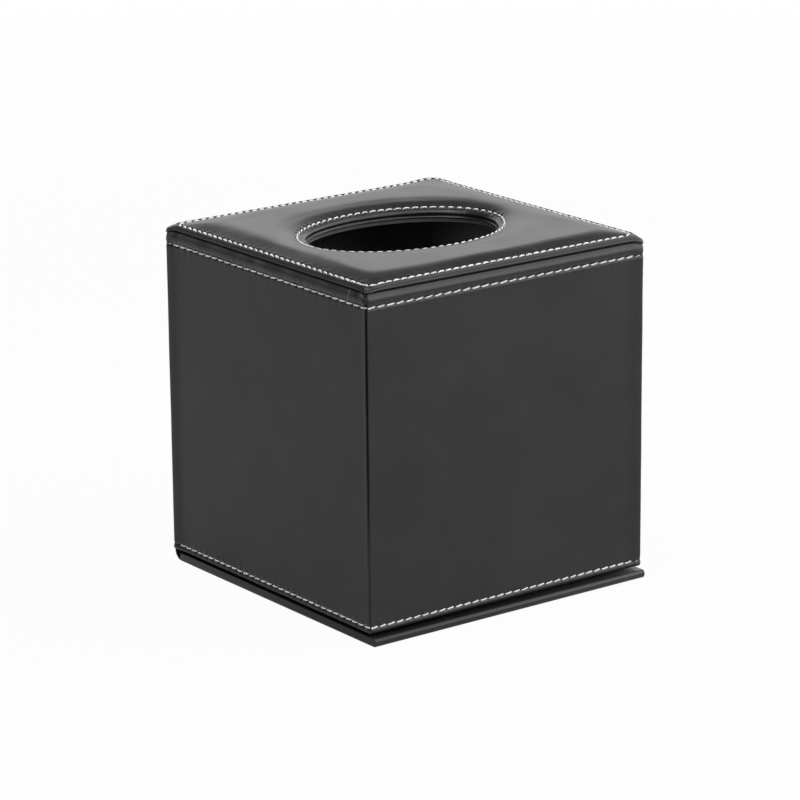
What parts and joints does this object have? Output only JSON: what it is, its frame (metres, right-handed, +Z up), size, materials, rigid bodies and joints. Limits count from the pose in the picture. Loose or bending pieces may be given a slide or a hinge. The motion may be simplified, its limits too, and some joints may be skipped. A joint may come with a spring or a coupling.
{
  "type": "tissue box",
  "caption": "Cube tissue box in stitched imitation leather, with a padded top, an oval mouth and a base flap on a leather hinge with magnets.",
  "frame": {"origin": "on the resting plane, under the middle of the four walls", "axes": "+Z up, -Y towards the front, where the base plate's lip is, +X to the right of someone facing the front"},
  "size_m": [0.13, 0.1335, 0.1379],
  "materials": {
    "leather": "smooth black imitation leather, semi-gloss, fine grain",
    "fibreboard": "raw fibreboard",
    "foam": "thin foam sheet",
    "lining": "black felt on card, matt",
    "magnet": "nickel plated",
    "thread": "white polyester thread"
  },
  "bodies": {
    "box": {"front_wall_board": "fibreboard", "front_leather": "leather", "front_lining": "lining", "right_wall_board": "fibreboard", "right_leather": "leather", "right_lining": "lining", "back_wall_board": "fibreboard", "back_leather": "leather", "back_lining": "lining", "left_wall_board": "fibreboard", "left_leather": "leather", "left_lining": "lining", "top_board": "fibreboard", "top_foam": "foam", "top_leather": "leather", "top_lining": "lining", "hinge_leather": "leather", "wall_magnets": "magnet"},
    "base_flap": {"base_board": "fibreboard", "base_leather": "leather", "base_lining": "lining", "base_magnets": "magnet"}
  },
  "joints": [
    {"name": "base_flap_hinge", "type": "hinge", "parent": "box", "child": "base_flap", "pos_m": [0, 0.06423, 0.00117], "axis": [1, 0, 0], "range_deg": [0, 180], "deforming": ["hinge_leather"]}
  ]
}
